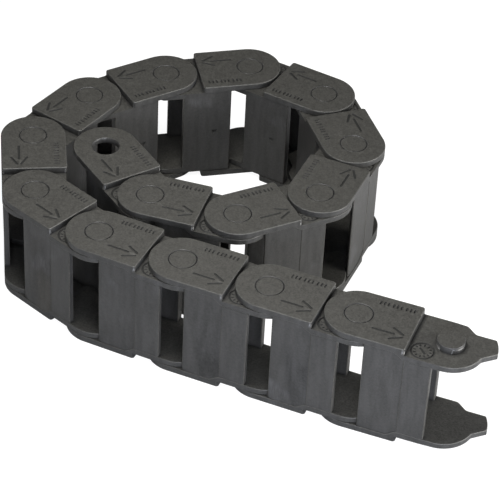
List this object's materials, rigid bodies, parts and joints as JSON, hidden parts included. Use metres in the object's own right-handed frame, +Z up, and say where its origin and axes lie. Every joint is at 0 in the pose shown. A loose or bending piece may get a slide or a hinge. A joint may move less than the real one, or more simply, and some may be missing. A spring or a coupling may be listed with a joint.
{
  "type": "cable drag chain",
  "caption": "Cable drag chain of one-piece plastic links that snap together, bend one way between stops and carry cables through their square channel.",
  "frame": {"origin": "middle of the chain's footprint, on the surface that it lies on", "axes": "+Z up, across the chain's width and along every hinge; +X along the straight run towards its free end; +Y towards the inside of the bend of that run, where the coil lies"},
  "size_m": [0.1244, 0.0883, 0.026],
  "materials": {
    "chain_plastic": "moulded, fine matte texture with a slight sheen"
  },
  "bodies": {
    "link_01": {"link_01": "chain_plastic"},
    "link_02": {"link_02": "chain_plastic"},
    "link_03": {"link_03": "chain_plastic"},
    "link_04": {"link_04": "chain_plastic"},
    "link_05": {"link_05": "chain_plastic"},
    "link_06": {"link_06": "chain_plastic"},
    "link_07": {"link_07": "chain_plastic"},
    "link_08": {"link_08": "chain_plastic"},
    "link_09": {"link_09": "chain_plastic"},
    "link_10": {"link_10": "chain_plastic"},
    "link_11": {"link_11": "chain_plastic"},
    "link_12": {"link_12": "chain_plastic"},
    "link_13": {"link_13": "chain_plastic"},
    "link_14": {"link_14": "chain_plastic"},
    "link_15": {"link_15": "chain_plastic"}
  },
  "joints": [
    {"name": "bend_01", "type": "hinge", "parent": "link_01", "child": "link_02", "pos_m": [0.03235, -0.0369, 0.013], "axis": [0, 0, 1], "range_deg": [-39.6, 2]},
    {"name": "bend_02", "type": "hinge", "parent": "link_02", "child": "link_03", "pos_m": [0.01236, -0.0362, 0.013], "axis": [0, 0, 1], "range_deg": [-41.2, 0.4]},
    {"name": "bend_03", "type": "hinge", "parent": "link_03", "child": "link_04", "pos_m": [-0.00762, -0.03537, 0.013], "axis": [0, 0, -1], "range_deg": [-1.7, 29.3]},
    {"name": "bend_04", "type": "hinge", "parent": "link_04", "child": "link_05", "pos_m": [-0.02757, -0.03393, 0.013], "axis": [0, 0, -1], "range_deg": [-18, 9]},
    {"name": "bend_05", "type": "hinge", "parent": "link_05", "child": "link_06", "pos_m": [-0.0461, -0.02641, 0.013], "axis": [0, 0, 1], "range_deg": [0, 41.6]},
    {"name": "bend_06", "type": "hinge", "parent": "link_06", "child": "link_07", "pos_m": [-0.05496, -0.00848, 0.013], "axis": [0, 0, 1], "range_deg": [0, 41.6]},
    {"name": "bend_07", "type": "hinge", "parent": "link_07", "child": "link_08", "pos_m": [-0.04968, 0.01081, 0.013], "axis": [0, 0, 1], "range_deg": [0, 24.2]},
    {"name": "bend_08", "type": "hinge", "parent": "link_08", "child": "link_09", "pos_m": [-0.03696, 0.02624, 0.013], "axis": [0, 0, 1], "range_deg": [0, 18.3]},
    {"name": "bend_09", "type": "hinge", "parent": "link_09", "child": "link_10", "pos_m": [-0.02004, 0.0369, 0.013], "axis": [0, 0, 1], "range_deg": [0, 41.6]},
    {"name": "bend_10", "type": "hinge", "parent": "link_10", "child": "link_11", "pos_m": [-0.0003, 0.03363, 0.013], "axis": [0, 0, 1], "range_deg": [0, 41.6]},
    {"name": "bend_11", "type": "hinge", "parent": "link_11", "child": "link_12", "pos_m": [0.01228, 0.01809, 0.013], "axis": [0, 0, 1], "range_deg": [0, 41.6]},
    {"name": "bend_12", "type": "hinge", "parent": "link_12", "child": "link_13", "pos_m": [0.01137, -0.00189, 0.013], "axis": [0, 0, 1], "range_deg": [0, 41.6]},
    {"name": "bend_13", "type": "hinge", "parent": "link_13", "child": "link_14", "pos_m": [-0.00257, -0.01623, 0.013], "axis": [0, 0, 1], "range_deg": [0, 41.6]},
    {"name": "bend_14", "type": "hinge", "parent": "link_14", "child": "link_15", "pos_m": [-0.02252, -0.01769, 0.013], "axis": [0, 0, 1], "range_deg": [0, 41.6]}
  ],
  "couplings": [
    {"joint": "bend_09", "follows": "bend_08", "ratio": 2.2732},
    {"joint": "bend_10", "follows": "bend_06", "ratio": 1},
    {"joint": "bend_11", "follows": "bend_05", "ratio": 1},
    {"joint": "bend_12", "follows": "bend_06", "ratio": 1},
    {"joint": "bend_13", "follows": "bend_08", "ratio": 2.2732},
    {"joint": "bend_14", "follows": "bend_07", "ratio": 1.719}
  ]
}
